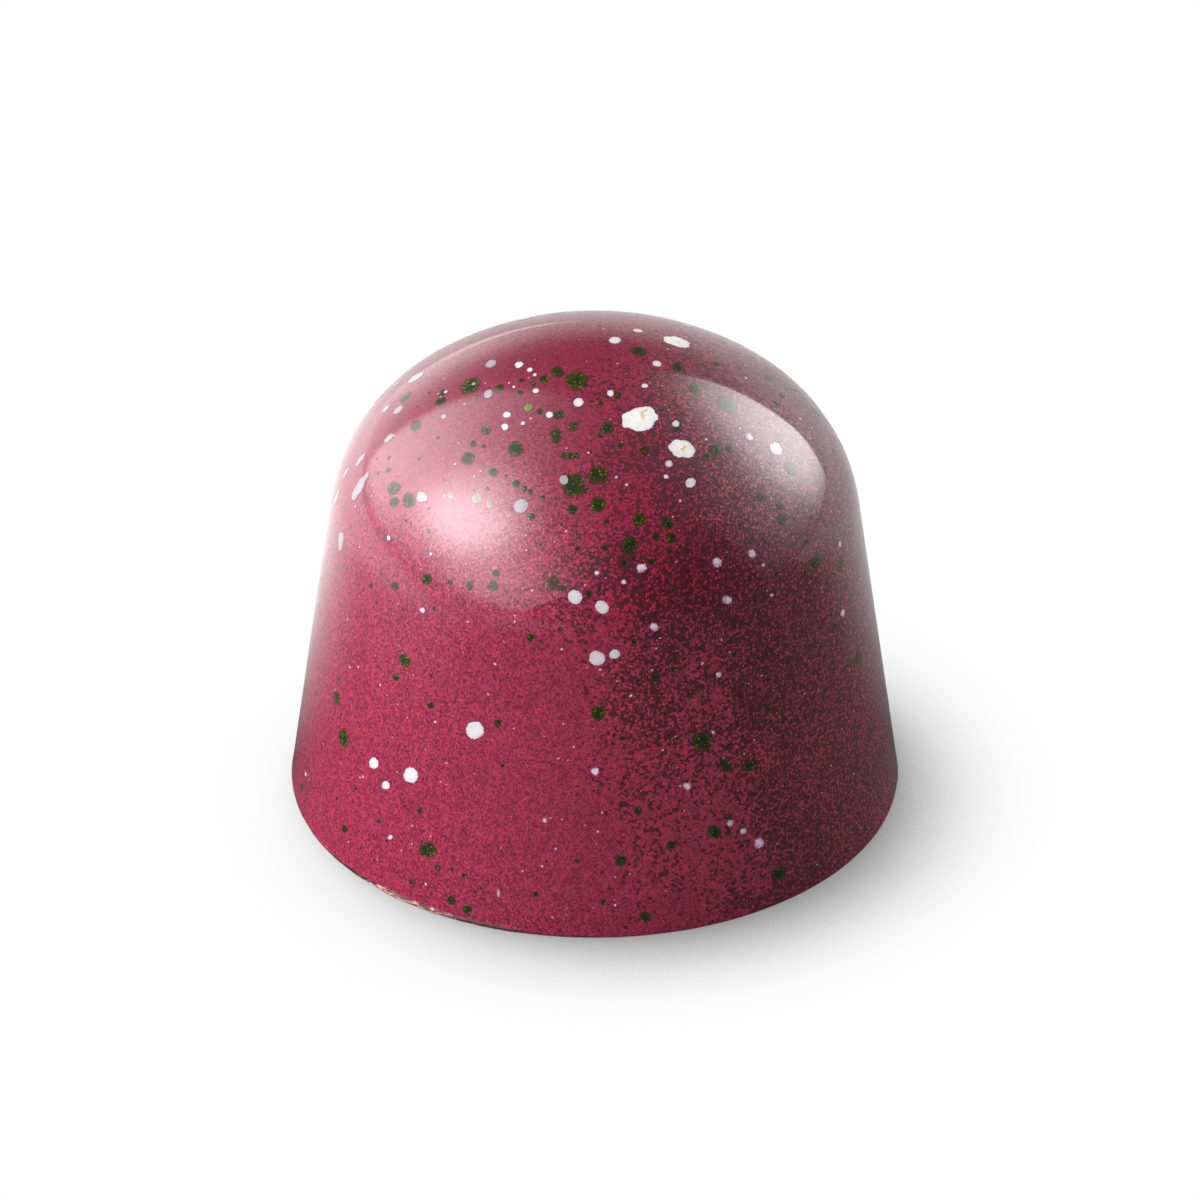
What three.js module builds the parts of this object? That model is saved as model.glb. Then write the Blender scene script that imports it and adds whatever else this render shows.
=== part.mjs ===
// A moulded chocolate bonbon in millimetres, +Z up, with the origin at the centre of its flat underside.
// The mould gives a round wall with a slight draft, a rounded shoulder and a domed crown.
// The underside is scraped flat, which leaves a thin, uneven lip of chocolate round the foot.

import * as THREE from "three";

// Driving dimensions
const BASE_RADIUS = 14.0; // the wall where it meets the surface that the bonbon stands on
const HEIGHT = 22.0; // from the underside to the top of the crown
const WALL_DRAFT = THREE.MathUtils.degToRad(8.2); // lean of the wall from upright
const SHOULDER_RADIUS = 7.4; // arc that joins the wall to the crown
const CROWN_RADIUS = 15.0; // arc of the domed top

// The scraped lip
const LIP_HEIGHT = 0.25; // where the lip runs out into the wall
const LIP_CREST_HEIGHT = 0.1; // where it stands out furthest
const LIP_REACH = 0.02; // how far it stands out on average
const LIP_LEAN = 0.035; // how much further it stands out on its heavy side
const LIP_LEAN_SIDE = THREE.MathUtils.degToRad(232); // the heavy side, round from +X
const UNDERSIDE_BEVEL = 0.05; // how far the flat underside stops short of the wall

// The lip's unevenness: each wave goes round the foot count times and moves the crest by its depth
const LIP_WAVES = [
  { count: 9, depth: 0.012, turn: 0.4 },
  { count: 17, depth: 0.014, turn: 1.9 },
  { count: 31, depth: 0.012, turn: 3.1 },
  { count: 43, depth: 0.01, turn: 5.2 },
];

// Facets
const SIDES = 120; // round the axis
const ARC_STEPS = 6; // pairs of steps along each arc of the profile

const CHOCOLATE_COLOUR = 0x8e2243; // raspberry skin over dark chocolate
const CHOCOLATE_ROUGHNESS = 0.25;

const WALL_NORMAL = new THREE.Vector2(Math.cos(WALL_DRAFT), Math.sin(WALL_DRAFT));
const UP_THE_WALL = new THREE.Vector2(-Math.sin(WALL_DRAFT), Math.cos(WALL_DRAFT));
const CROWN_CENTRE = new THREE.Vector2(0, HEIGHT - CROWN_RADIUS);

// The shoulder's arc touches the wall from inside and touches the crown's circle from inside.
function shoulderCentre() {
  const start = new THREE.Vector2(BASE_RADIUS, 0).addScaledVector(WALL_NORMAL, -SHOULDER_RADIUS);
  const fromCrown = start.clone().sub(CROWN_CENTRE);
  const along = fromCrown.dot(UP_THE_WALL);
  const outside = fromCrown.lengthSq() - (CROWN_RADIUS - SHOULDER_RADIUS) ** 2;
  const climb = Math.sqrt(along ** 2 - outside) - along;
  return start.addScaledVector(UP_THE_WALL, climb);
}

// Half of the bonbon's section, from the middle of the underside round to the top of the crown.
function profile() {
  const shoulder = shoulderCentre();
  const crownStart = shoulder.clone().sub(CROWN_CENTRE).angle();
  const lipTop = BASE_RADIUS - LIP_HEIGHT * Math.tan(WALL_DRAFT);
  const path = new THREE.Path();
  path.moveTo(0, 0);
  path.lineTo(BASE_RADIUS - UNDERSIDE_BEVEL, 0);
  path.lineTo(BASE_RADIUS, LIP_CREST_HEIGHT);
  path.lineTo(lipTop, LIP_HEIGHT);
  path.absarc(shoulder.x, shoulder.y, SHOULDER_RADIUS, WALL_DRAFT, crownStart, false);
  path.absarc(CROWN_CENTRE.x, CROWN_CENTRE.y, CROWN_RADIUS, crownStart, Math.PI / 2, false);
  const points = path.getPoints(ARC_STEPS);
  points[points.length - 1].x = 0;
  return points;
}

// How far the lip's crest stands out from the foot at an angle round from +X.
function lipReach(angle) {
  const leaning = LIP_LEAN * Math.cos(angle - LIP_LEAN_SIDE);
  const waves = LIP_WAVES.map((wave) => wave.depth * Math.sin(wave.count * angle + wave.turn));
  return LIP_REACH + leaning + waves.reduce((sum, wave) => sum + wave, 0);
}

// Moves the ring of points at the lip's crest out from the axis, each by its own reach.
function raiseLip(geometry) {
  const position = geometry.attributes.position;
  for (let index = 0; index < position.count; index += 1) {
    const isCrest = Math.abs(position.getZ(index) - LIP_CREST_HEIGHT) < LIP_CREST_HEIGHT / 2;
    if (isCrest) {
      const angle = Math.atan2(position.getY(index), position.getX(index));
      const radius = BASE_RADIUS + lipReach(angle);
      position.setX(index, radius * Math.cos(angle));
      position.setY(index, radius * Math.sin(angle));
    }
  }
  geometry.computeVertexNormals();
}

function bonbonGeometry() {
  const geometry = new THREE.LatheGeometry(profile(), SIDES);
  geometry.rotateX(Math.PI / 2);
  raiseLip(geometry);
  return geometry;
}

const chocolate = new THREE.MeshStandardMaterial({
  color: CHOCOLATE_COLOUR,
  roughness: CHOCOLATE_ROUGHNESS,
  metalness: 0,
});

const bonbon = new THREE.Mesh(bonbonGeometry(), chocolate);
bonbon.name = "bonbon";

const model = new THREE.Group();
model.add(bonbon);

export default model;
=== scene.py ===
"""A moulded chocolate bonbon with a sprayed cocoa butter skin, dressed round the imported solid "bonbon".

The skin is raspberry pearl over dark chocolate, dense on the left and thin on the right. White and green
drops lie flush in it, and the scraped foot shows the chocolate as a thin, crumbly line.
"""

import math

import bpy
import numpy as np
from mathutils import Matrix, Vector


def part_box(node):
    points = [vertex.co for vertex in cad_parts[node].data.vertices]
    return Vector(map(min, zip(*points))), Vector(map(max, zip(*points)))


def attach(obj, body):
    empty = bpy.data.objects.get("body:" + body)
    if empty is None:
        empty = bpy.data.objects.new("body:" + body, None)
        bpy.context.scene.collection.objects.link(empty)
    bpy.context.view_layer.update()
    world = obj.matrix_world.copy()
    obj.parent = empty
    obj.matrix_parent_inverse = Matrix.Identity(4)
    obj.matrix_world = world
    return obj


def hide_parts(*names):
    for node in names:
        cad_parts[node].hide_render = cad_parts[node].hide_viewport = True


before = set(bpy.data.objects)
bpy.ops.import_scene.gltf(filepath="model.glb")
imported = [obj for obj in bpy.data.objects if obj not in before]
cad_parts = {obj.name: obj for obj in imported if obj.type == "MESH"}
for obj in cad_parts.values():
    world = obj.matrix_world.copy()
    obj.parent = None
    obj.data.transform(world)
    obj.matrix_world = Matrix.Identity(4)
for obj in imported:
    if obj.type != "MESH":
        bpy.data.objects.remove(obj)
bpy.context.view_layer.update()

MM = 0.001

# The bonbon's own sizes, as in its solid
BASE_RADIUS = 14.0 * MM
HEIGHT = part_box("bonbon")[1].z
WALL_DRAFT = math.radians(8.2)
SHOULDER_RADIUS = 7.4 * MM
CROWN_RADIUS = 15.0 * MM
LIP_HEIGHT = 0.25 * MM
LIP_CREST_HEIGHT = 0.1 * MM
LIP_REACH = 0.02 * MM
LIP_LEAN = 0.035 * MM
LIP_LEAN_SIDE = math.radians(232)
UNDERSIDE_BEVEL = 0.05 * MM

# Unevenness of the lip and of the skin's lower edge: count of waves round the axis, depth, turn
LIP_WAVES = ((9, 0.012 * MM, 0.4), (17, 0.014 * MM, 1.9), (31, 0.012 * MM, 3.1), (43, 0.01 * MM, 5.2))
CRUMBLE_WAVES = ((71, 0.006 * MM, 0.9), (113, 0.006 * MM, 2.2), (167, 0.005 * MM, 4.0))
CHIP_WAVES = ((13, 1, 0.3), (29, 1, 1.1), (57, 0.8, 2.5), (97, 0.6, 0.2))
CHIP_SPAN = 2.2  # sum of the waves' depths at which a chip is at its full height

# Where the skin stops short of the foot, round from +X
BARE_SIDE = math.radians(232)  # where most of the skin has chipped off the lip
BARE_REACH = math.radians(11)  # either way round from there
THIN_SIDE = math.radians(236)  # the middle of the longer part where the skin stops a little short
THIN_REACH = math.radians(18)
SKIN_OVER_LIP = 0.3  # the skin and the lip under it stand out by this share where the lip doesn't show

# Height of the skin's edge, and what the thin side, the bare side and the chips add to it
SKIN_EDGE = 0.03 * MM
THIN_EDGE = 0.08 * MM
BARE_EDGE = 0.06 * MM
CHIP_HEIGHT = 0.03 * MM
BARE_CHIP_HEIGHT = 0.04 * MM

# Cocoa butter lies over the chocolate in thin layers
SKIN_LIFT = 0.012 * MM
DROP_LIFTS = {
    "green": 0.018 * MM, "lime": 0.018 * MM, "white": 0.022 * MM, "milky": 0.022 * MM,
    "pale": 0.022 * MM, "ringed": 0.022 * MM, "thick": 0.022 * MM, "yellow": 0.026 * MM,
}
DROP_EDGE_FALL = 0.003 * MM

# The photograph's camera
PHOTO_SIZE = 1200
CAMERA_ELEVATION = math.radians(31.8)
CAMERA_DISTANCE = 336 * MM
CAMERA_TARGET = Vector((0, 0, 8.4 * MM))
TARGET_PIXEL = (594.8, 612.5)
SENSOR_WIDTH = 36.0
LENS = 220.7
PIXELS_PER_UNIT_SLOPE = LENS / SENSOR_WIDTH * PHOTO_SIZE
PIXELS_PER_MM = PIXELS_PER_UNIT_SLOPE / (CAMERA_DISTANCE / MM)


# The form

WALL_NORMAL = np.array([math.cos(WALL_DRAFT), math.sin(WALL_DRAFT)])
UP_THE_WALL = np.array([-math.sin(WALL_DRAFT), math.cos(WALL_DRAFT)])
CROWN_CENTRE = np.array([0.0, HEIGHT - CROWN_RADIUS])


def shoulder_centre():
    """Centre of the shoulder's arc, which touches the wall and the crown's circle from inside."""
    start = np.array([BASE_RADIUS, 0.0]) - SHOULDER_RADIUS * WALL_NORMAL
    from_crown = start - CROWN_CENTRE
    along = from_crown @ UP_THE_WALL
    outside = from_crown @ from_crown - (CROWN_RADIUS - SHOULDER_RADIUS) ** 2
    return start + (math.sqrt(along**2 - outside) - along) * UP_THE_WALL


SHOULDER_CENTRE = shoulder_centre()
CROWN_START = math.atan2(*(SHOULDER_CENTRE - CROWN_CENTRE)[::-1])
WALL_LENGTH = float((SHOULDER_CENTRE - np.array([BASE_RADIUS, 0.0])) @ UP_THE_WALL)
SHOULDER_LENGTH = SHOULDER_RADIUS * (CROWN_START - WALL_DRAFT)
CROWN_LENGTH = CROWN_RADIUS * (math.pi / 2 - CROWN_START)
PROFILE_LENGTH = WALL_LENGTH + SHOULDER_LENGTH + CROWN_LENGTH


def profile(run):
    """Radius, height and the normal's angle above level at distances run up the profile from the foot."""
    run = np.asarray(run, float)
    on_shoulder = WALL_DRAFT + (run - WALL_LENGTH) / SHOULDER_RADIUS
    on_crown = CROWN_START + (run - WALL_LENGTH - SHOULDER_LENGTH) / CROWN_RADIUS
    where = [run <= WALL_LENGTH, run <= WALL_LENGTH + SHOULDER_LENGTH]
    wall_radius = BASE_RADIUS + run * UP_THE_WALL[0]
    shoulder_radius = SHOULDER_CENTRE[0] + SHOULDER_RADIUS * np.cos(on_shoulder)
    radius = np.select(where, [wall_radius, shoulder_radius], CROWN_RADIUS * np.cos(on_crown))
    shoulder_height = SHOULDER_CENTRE[1] + SHOULDER_RADIUS * np.sin(on_shoulder)
    crown_height = CROWN_CENTRE[1] + CROWN_RADIUS * np.sin(on_crown)
    height = np.select(where, [run * UP_THE_WALL[1], shoulder_height], crown_height)
    tilt = np.select(where, [WALL_DRAFT + 0 * run, on_shoulder], on_crown)
    return radius, height, tilt


def settle(points, lift):
    """Points near the surface moved onto it and then out along its normal by lift, with those normals."""
    radius = np.hypot(points[:, 0], points[:, 1])
    height = points[:, 2]
    from_crown = np.stack([radius, height - CROWN_CENTRE[1]], 1)
    from_shoulder = np.stack([radius - SHOULDER_CENTRE[0], height - SHOULDER_CENTRE[1]], 1)
    on_crown = np.arctan2(from_crown[:, 1], from_crown[:, 0]) > CROWN_START
    on_shoulder = np.arctan2(from_shoulder[:, 1], from_shoulder[:, 0]) > WALL_DRAFT
    up = (radius - BASE_RADIUS) * UP_THE_WALL[0] + height * UP_THE_WALL[1]
    wall = np.array([BASE_RADIUS, 0.0]) + up[:, None] * UP_THE_WALL
    crown_out = from_crown / np.linalg.norm(from_crown, axis=1)[:, None]
    shoulder_out = from_shoulder / np.linalg.norm(from_shoulder, axis=1)[:, None]
    out = np.where(on_shoulder[:, None], shoulder_out, WALL_NORMAL)
    base = np.where(on_shoulder[:, None], SHOULDER_CENTRE + SHOULDER_RADIUS * shoulder_out, wall)
    out = np.where(on_crown[:, None], crown_out, out)
    base = np.where(on_crown[:, None], CROWN_CENTRE + CROWN_RADIUS * crown_out, base)
    moved = base + out * np.reshape(lift, (-1, 1))
    round_z = points[:, :2] / np.maximum(radius, 1e-12)[:, None]
    placed = np.column_stack([round_z * moved[:, :1], moved[:, 1]])
    normals = np.column_stack([round_z * out[:, :1], out[:, 1]])
    return placed, normals


def ripple(angle, waves):
    """A sum of sine waves round the axis, each given as (count, depth, turn)."""
    return sum(depth * np.sin(count * angle + turn) for count, depth, turn in waves)


def near_side(angle, side, reach):
    """1 at one side of the foot, falling to 0 away from it."""
    turned = np.angle(np.exp(1j * (angle - side)))
    return np.exp(-((turned / reach) ** 2))


def bareness(angle):
    return near_side(angle, BARE_SIDE, BARE_REACH)


def lip_reach(angle):
    """How far the lip's crest stands out from the foot."""
    return LIP_REACH + LIP_LEAN * np.cos(angle - LIP_LEAN_SIDE) + ripple(angle, LIP_WAVES)


def lip_relief(angle, height):
    """How far the lip stands out from the wall's own line at a height."""
    wall_line = LIP_CREST_HEIGHT * math.tan(WALL_DRAFT)
    share = np.interp(height, [0, LIP_CREST_HEIGHT, LIP_HEIGHT], [0.8, 1, 0])
    return share * (lip_reach(angle) + wall_line + ripple(angle, CRUMBLE_WAVES))


# Meshes


def make_piece(name, points, faces, material):
    """A smooth mesh piece that moves with the bonbon, with the material it is given."""
    mesh = bpy.data.meshes.new(name)
    mesh.from_pydata(np.asarray(points).tolist(), [], [list(map(int, face)) for face in faces])
    mesh.materials.append(material)
    mesh.polygons.foreach_set("use_smooth", [True] * len(mesh.polygons))
    mesh.update()
    piece = bpy.data.objects.new(name, mesh)
    bpy.context.scene.collection.objects.link(piece)
    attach(piece, "root")
    return piece


def store_values(piece, name, values):
    """Keeps one number for each point of the mesh, for the material to read."""
    stored = piece.data.attributes.new(name, "FLOAT", "POINT")
    stored.data.foreach_set("value", np.asarray(values, np.float32))


def ring_faces(rings, sides, closed_top):
    """Quads between rings of points that run round the axis, and a fan to one last point if closed_top."""
    here = np.arange(sides)
    after = (here + 1) % sides
    faces = []
    for ring in range(rings - 1):
        low = ring * sides
        high = low + sides
        faces.extend(np.stack([low + here, low + after, high + after, high + here], 1).tolist())
    if closed_top:
        last = (rings - 1) * sides
        faces.extend([last + a, last + b, rings * sides] for a, b in zip(here, after))
    return faces


SKIN_SIDES = 360
SKIN_RINGS = 150
SKIN_RING_CROWDING = 1.35  # over 1, the rings lie closer together near the foot
SKIN_EDGE_STEP = 0.02 * MM  # how far the skin's edge is turned in, so that no gap shows under it


def skin_edge(angle):
    """How far up the wall the skin's broken lower edge is: it has chipped away most on the bare side."""
    chipped = np.clip(np.abs(ripple(angle, CHIP_WAVES)) / CHIP_SPAN, 0, 1)
    bare = bareness(angle)
    short = SKIN_EDGE + THIN_EDGE * near_side(angle, THIN_SIDE, THIN_REACH) + BARE_EDGE * bare
    return short + (CHIP_HEIGHT + BARE_CHIP_HEIGHT * bare) * chipped


def make_skin(material):
    """The sprayed skin, from its chipped edge at the foot up to the pole."""
    angle = np.arange(SKIN_SIDES) * (2 * math.pi / SKIN_SIDES)
    edge = skin_edge(angle)
    inner = surface_ring(angle, edge, -SKIN_EDGE_STEP)
    rings = [inner]
    for share in np.linspace(0, 1, SKIN_RINGS) ** SKIN_RING_CROWDING:
        if share < 1:
            run = edge + (PROFILE_LENGTH - edge) * share
            rings.append(surface_ring(angle, run, SKIN_LIFT))
    top = np.array([[0, 0, HEIGHT + SKIN_LIFT]])
    points = np.concatenate([*rings, top])
    return make_piece("skin", points, ring_faces(len(rings), SKIN_SIDES, True), material)


def surface_ring(angle, run, lift, lip_share=SKIN_OVER_LIP):
    """A ring of points round the bonbon, at distances run up the profile, lifted off it."""
    radius, height, tilt = profile(run)
    relief = np.where(height < LIP_HEIGHT, lip_share * lip_relief(angle, height), 0)
    radius = radius + lift * np.cos(tilt) + relief
    height = height + lift * np.sin(tilt)
    return np.column_stack([radius * np.cos(angle), radius * np.sin(angle), height + 0 * angle])


FOOT_SIDES = 720
LIP_RING_HEIGHTS = (0.32, 0.26, 0.2, 0.15, 0.1, 0.05, 0.01)  # in millimetres, from the top down
UNDERSIDE_RINGS = 40
SCRAPE_DEPTH = 0.05 * MM
SCRAPE_WAY = 0.5  # the angle round +Z, in radians, that the furrows lie across
SCRAPE_BOW = 0.012  # per millimetre
SCRAPE_RIM = 0.05  # the furrows fade out over this share of the radius at the rim


def scraped(x, y):
    """Relief of the scraped underside: shallow parallel furrows, a little bowed, that only go inwards."""
    across = (x * math.cos(SCRAPE_WAY) + y * math.sin(SCRAPE_WAY)) / MM
    along = (y * math.cos(SCRAPE_WAY) - x * math.sin(SCRAPE_WAY)) / MM
    bowed = across + SCRAPE_BOW * along**2
    coarse = 0.5 * np.sin(1.9 * bowed + 0.35 * along)
    furrow = np.sin(5.2 * bowed) + 0.6 * np.sin(11.7 * bowed + 1.3) + coarse
    return SCRAPE_DEPTH * np.clip(0.5 + furrow / 4, 0, 1)


def make_foot(material):
    """The chocolate that shows: the crumbly lip under the skin's edge, and the scraped underside."""
    angle = np.arange(FOOT_SIDES) * (2 * math.pi / FOOT_SIDES)
    flat_radius = BASE_RADIUS - UNDERSIDE_BEVEL
    rings = []
    below_skin = []
    lip_share = SKIN_OVER_LIP + (1 - SKIN_OVER_LIP) * near_side(angle, THIN_SIDE, THIN_REACH)
    for height in LIP_RING_HEIGHTS:
        run = height * MM / UP_THE_WALL[1]
        rings.append(surface_ring(angle, run + 0 * angle, 0, lip_share))
        below_skin.append(skin_edge(angle) - run)
    for share in np.linspace(1, 0, UNDERSIDE_RINGS, endpoint=False):
        x = flat_radius * share * np.cos(angle)
        y = flat_radius * share * np.sin(angle)
        inside = np.clip((1 - share) / SCRAPE_RIM, 0, 1)
        rings.append(np.column_stack([x, y, inside * scraped(x, y)]))
        below_skin.append(skin_edge(angle))
    middle = np.array([[0, 0, scraped(0, 0)]])
    points = np.concatenate([*rings, middle])
    faces = [face[::-1] for face in ring_faces(len(rings), FOOT_SIDES, True)]
    piece = make_piece("chocolate_foot", points, faces, material)
    store_values(piece, "below_skin", np.append(np.concatenate(below_skin), LIP_HEIGHT) / MM)
    store_values(piece, "bare", np.append(np.tile(bareness(angle), len(rings)), 0))
    return piece


# The camera, and places read off the photograph


def camera_axes():
    """The eye, and the directions forward, right and up, of the view that has the target in mid-picture."""
    back = Vector((0, -math.cos(CAMERA_ELEVATION), math.sin(CAMERA_ELEVATION)))
    forward = -back
    right = Vector((1, 0, 0))
    return CAMERA_TARGET + CAMERA_DISTANCE * back, forward, right, right.cross(forward)


def pixel_direction(x, y):
    """The direction from the eye through a pixel of the photograph."""
    _, forward, right, up = camera_axes()
    across = (x - TARGET_PIXEL[0]) / PIXELS_PER_UNIT_SLOPE
    down = (y - TARGET_PIXEL[1]) / PIXELS_PER_UNIT_SLOPE
    return (forward + across * right - down * up).normalized()


def make_camera():
    data = bpy.data.cameras.new("camera")
    data.lens = LENS
    data.sensor_width = SENSOR_WIDTH
    data.clip_start = 0.01
    data.clip_end = 10
    camera = bpy.data.objects.new("camera", data)
    camera.location = camera_axes()[0]
    middle = pixel_direction(PHOTO_SIZE / 2, PHOTO_SIZE / 2)
    camera.rotation_mode = "QUATERNION"
    camera.rotation_quaternion = middle.to_track_quat("-Z", "Y")
    bpy.context.scene.collection.objects.link(camera)
    bpy.context.scene.camera = camera


def seen_at(x, y):
    """The point of the bonbon's surface that a pixel of the photograph shows."""
    eye = np.array(camera_axes()[0])
    way = np.array(pixel_direction(x, y))
    reach = CAMERA_DISTANCE - 2 * BASE_RADIUS
    for _ in range(200):
        point = eye + reach * way
        on_surface, normal = settle(point[None], np.zeros(1))
        gap = float((point - on_surface[0]) @ normal[0])
        if gap < 1e-8:
            break
        reach += gap
    return on_surface[0]


# Drops of cocoa butter, read off the photograph: the pixel of each one's middle and its radius in pixels

WHITE_DROPS = (
    (475, 730, 9), (411, 775, 8), (374, 763, 6), (386, 785, 4.5), (597, 658, 7.5), (614.5, 654, 5),
    (602, 607, 6.5), (575, 597, 7), (776, 449, 7), (530, 370, 3), (535, 375, 2), (536, 391, 3),
    (519, 365, 4.5), (507, 415, 3.5), (505, 427, 3.5), (523, 423.5, 2), (549.5, 415, 3.5), (514, 387, 1.5),
    (578.5, 402.5, 5), (610.5, 393.5, 3.5), (644.7, 386, 3), (675.8, 424, 3.5), (615, 340.5, 6.5),
    (638, 331, 5), (657, 364, 4.5), (690.5, 483, 5), (431, 554, 1.4), (389, 538, 2.2), (588.5, 453, 1),
    (306, 774, 2.5), (615, 905, 1.2), (426, 884, 1.2), (446, 392, 2),
)
PALE_DROPS = (
    (654, 627, 4.3), (727, 600, 4.7), (717, 562.5, 5), (752, 554, 4.3), (641.5, 568, 5), (669, 464, 4),
    (666, 477, 2.5), (680, 501, 1.5), (749, 437, 4.5),
    (422.5, 610, 3), (687, 786, 4), (595, 771, 4), (730, 823, 3.5), (743, 831, 3.5), (759, 843, 5.5),
    (718.5, 674.5, 3), (713, 732, 2), (771.5, 595, 2), (763, 565, 2), (623.5, 582, 2.5), (597, 573, 2.5),
    (839.5, 544, 3.5), (842.5, 613, 4.5), (544.5, 820, 2.5), (746, 378.5, 2), (800, 419, 2.5),
    (390.5, 837, 2.8),
)
GREEN_DROPS = (
    (577, 380.5, 11), (557.5, 372, 7), (470.5, 386, 10.5), (515.5, 449, 7.5), (486, 430, 5), (468, 459, 6.5),
    (564.5, 456, 3.4), (570, 456.3, 3.8), (575.5, 455.5, 3.2), (566, 480, 6),
    (493, 473, 4.5), (473, 444, 3.5), (484, 446.5, 2), (556, 436, 6.5), (573, 427, 5), (558.5, 414.5, 5.5),
    (540, 411.5, 3.5), (574, 486, 11), (598, 475, 9), (598, 505, 7.5), (572.5, 510, 5), (607.5, 428, 6.5),
    (600, 435.5, 2.5), (620, 446, 3), (617.5, 395, 4), (600.7, 403.5, 3), (544, 379.5, 5), (533, 384, 3),
    (521, 380.5, 3), (520, 393, 3), (500, 388, 4.5), (443, 393, 4.5), (440.5, 402, 6), (405.5, 397, 7),
    (416, 426, 6), (438, 438, 2), (419, 459, 2), (389, 458, 2.5), (388.5, 470, 3), (394, 488, 7),
    (409, 500, 7), (394.5, 502, 5), (531, 517, 3.5), (516, 484, 4), (524, 489, 3), (530, 492.5, 3),
    (542.5, 498, 2.5), (587, 490.5, 2), (606.5, 522.5, 2.5), (577.5, 549, 2.5), (604, 548, 2.5),
    (540, 545, 2), (644, 451, 4), (662, 410, 2), (676.3, 429, 3.5), (639, 351.5, 8), (678, 368, 6.5),
    (695, 389, 6.5),
    (727, 404, 9.5), (716, 364, 3.5), (739, 368, 3), (752, 357, 4), (769, 378, 6), (782, 396, 4),
    (776, 403.5, 3), (816, 412, 6.5), (834, 452, 3), (715, 450, 6), (730, 448, 4.5), (706, 457, 4),
    (790.5, 468, 7), (639, 520, 6), (667.5, 524, 6), (671, 538, 5), (656, 537, 4), (629.5, 546, 8),
    (651, 562, 3), (624.5, 563.5, 2.5), (739.5, 525, 2), (780, 506, 4), (781.5, 519, 5), (760, 496, 4.5),
    (811, 517, 3), (752, 540, 3), (807, 542, 3.5), (815.5, 562, 7), (840.5, 563.5, 6.5), (427, 579, 5.5),
    (395, 586, 4.5), (470, 585.5, 4), (493, 586, 5), (496, 573, 3.5), (553, 582, 5.5), (561.5, 588, 3),
    (589, 594, 3.5), (672.5, 589.5, 2.5), (405, 660, 6.5), (396, 677, 4), (344, 738, 9), (337, 698, 6.5),
    (428, 849.5, 8.5), (438, 867.5, 3), (452, 869, 1.7), (464, 875.5, 2.2), (412, 881.5, 2.7),
    (451.3, 900, 4.5), (467.5, 909, 5), (475, 891, 2), (481, 888, 1.5), (431, 705, 3.5), (498, 723, 4),
    (531, 637, 4), (598, 713, 7), (535.5, 894, 3), (603.7, 902, 3), (344.8, 828.5, 4), (302, 787, 4.5),
    (356, 788, 2), (337, 798, 2), (379, 821, 2.5), (419.7, 810.5, 3), (703, 741, 10), (725, 765, 6.5),
    (750, 766, 6), (655, 677.5, 4.5), (634, 643, 3), (734, 654.5, 2.5), (768.5, 625, 2), (768, 708.5, 3.5),
    (702, 696, 2), (673, 670, 2), (714, 832, 7), (671, 845, 4.5), (620.5, 860.5, 5.5), (629, 864, 1.7),
    (577, 860, 2.3), (546.5, 861, 1.3), (779, 873, 7), (645, 917, 5.5), (638, 810.5, 4), (858.5, 658, 8),
    (835.5, 626, 3),
)
MILKY_DROPS = (
    (521, 506, 7), (422, 497, 5.5), (416, 377.5, 9.5), (397, 384, 4.5), (386, 409, 5), (398.5, 410, 6),
    (491, 364, 6), (488.5, 394, 5), (444, 416.5, 3), (474, 384, 2), (465, 404, 1.5), (564, 480, 4.5),
)
LIME_DROPS = ((528.4, 407.7, 4),)
RINGED_DROPS = ((477, 498, 5), (451, 495, 3.5), (490, 505, 3))

# White drops that ran up the wall, most of them beside the left rim
# Each is the pixel, the height in millimetres, and height over width
RIM_STREAKS = (
    ((359.5, 487), 1.5, 2.2), ((360.5, 460), 0.78, 2.0), ((346, 473), 0.6, 1.8), ((337, 497), 0.85, 1.8),
    ((341, 541), 1.0, 1.5), ((389, 438), 0.6, 1.5), ((498.5, 893), 0.36, 2.4),
)

# Larger white drops with a scalloped edge
# Each is the pixel, the width in millimetres, how oval it is, its turn, and its number of scallops
LOBED_DROPS = (
    ((640, 419), 1.42, 1.25, 0.1, 7),
    ((682, 449), 1.02, 1.1, 2.6, 6),
    ((677, 342), 1.15, 1.05, 0.0, 6),
)

# Yellow strokes swirled into those: the pixel, the length in millimetres, length over width, the turn
YELLOW_STROKES = (
    ((642.5, 415.5), 0.55, 4, 1.2), ((645.5, 411), 0.3, 3, 0.2), ((683.5, 448.5), 0.34, 3, 0.6),
    ((682, 450), 0.2, 2, 2.2), ((677, 342), 0.4, 3.5, 0.4),
)

# How a drop is drawn
DROP_SIDE_STEP = 0.012 * MM
FEWEST_SIDES = 10
MOST_SIDES = 80
LOBED_SIDES = 96
DROP_RINGS = (0.35, 0.7, 0.92, 1.0)  # shares of the drop's radius
SMALL_DROP_RINGS = (0.6, 1.0)
SMALL_DROP_SIDES = 14
OUTLINE_WAVES = (2, 3, 4, 5, 7)
GREEN_GRAIN = 0.03  # raggedness of a green drop's outline, as a share of its radius
GREEN_SPREAD = 1.08  # green drops are drawn wider by this, as their outermost part is broken

# How much longer than wide a drop is, away from the camera, by how squarely the camera looks at it
SQUARENESS = (0.3, 0.5, 0.75, 1.0)
STRETCH = (1.0, 1.25, 1.25, 1.0)

# The piece that each kind of drop makes, and the name of its slot
DROP_PIECES = {
    "white": ("white_drops", "white_drops"),
    "thick": ("thick_white_drops", "white_drops"),
    "milky": ("milky_drops", "white_drops"),
    "pale": ("pale_drops", "white_drops"),
    "ringed": ("ringed_drops", "white_drops"),
    "green": ("green_drops", "green_drops"),
    "lime": ("lime_drops", "green_drops"),
    "yellow": ("yellow_swirls", "yellow_drops"),
}

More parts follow.
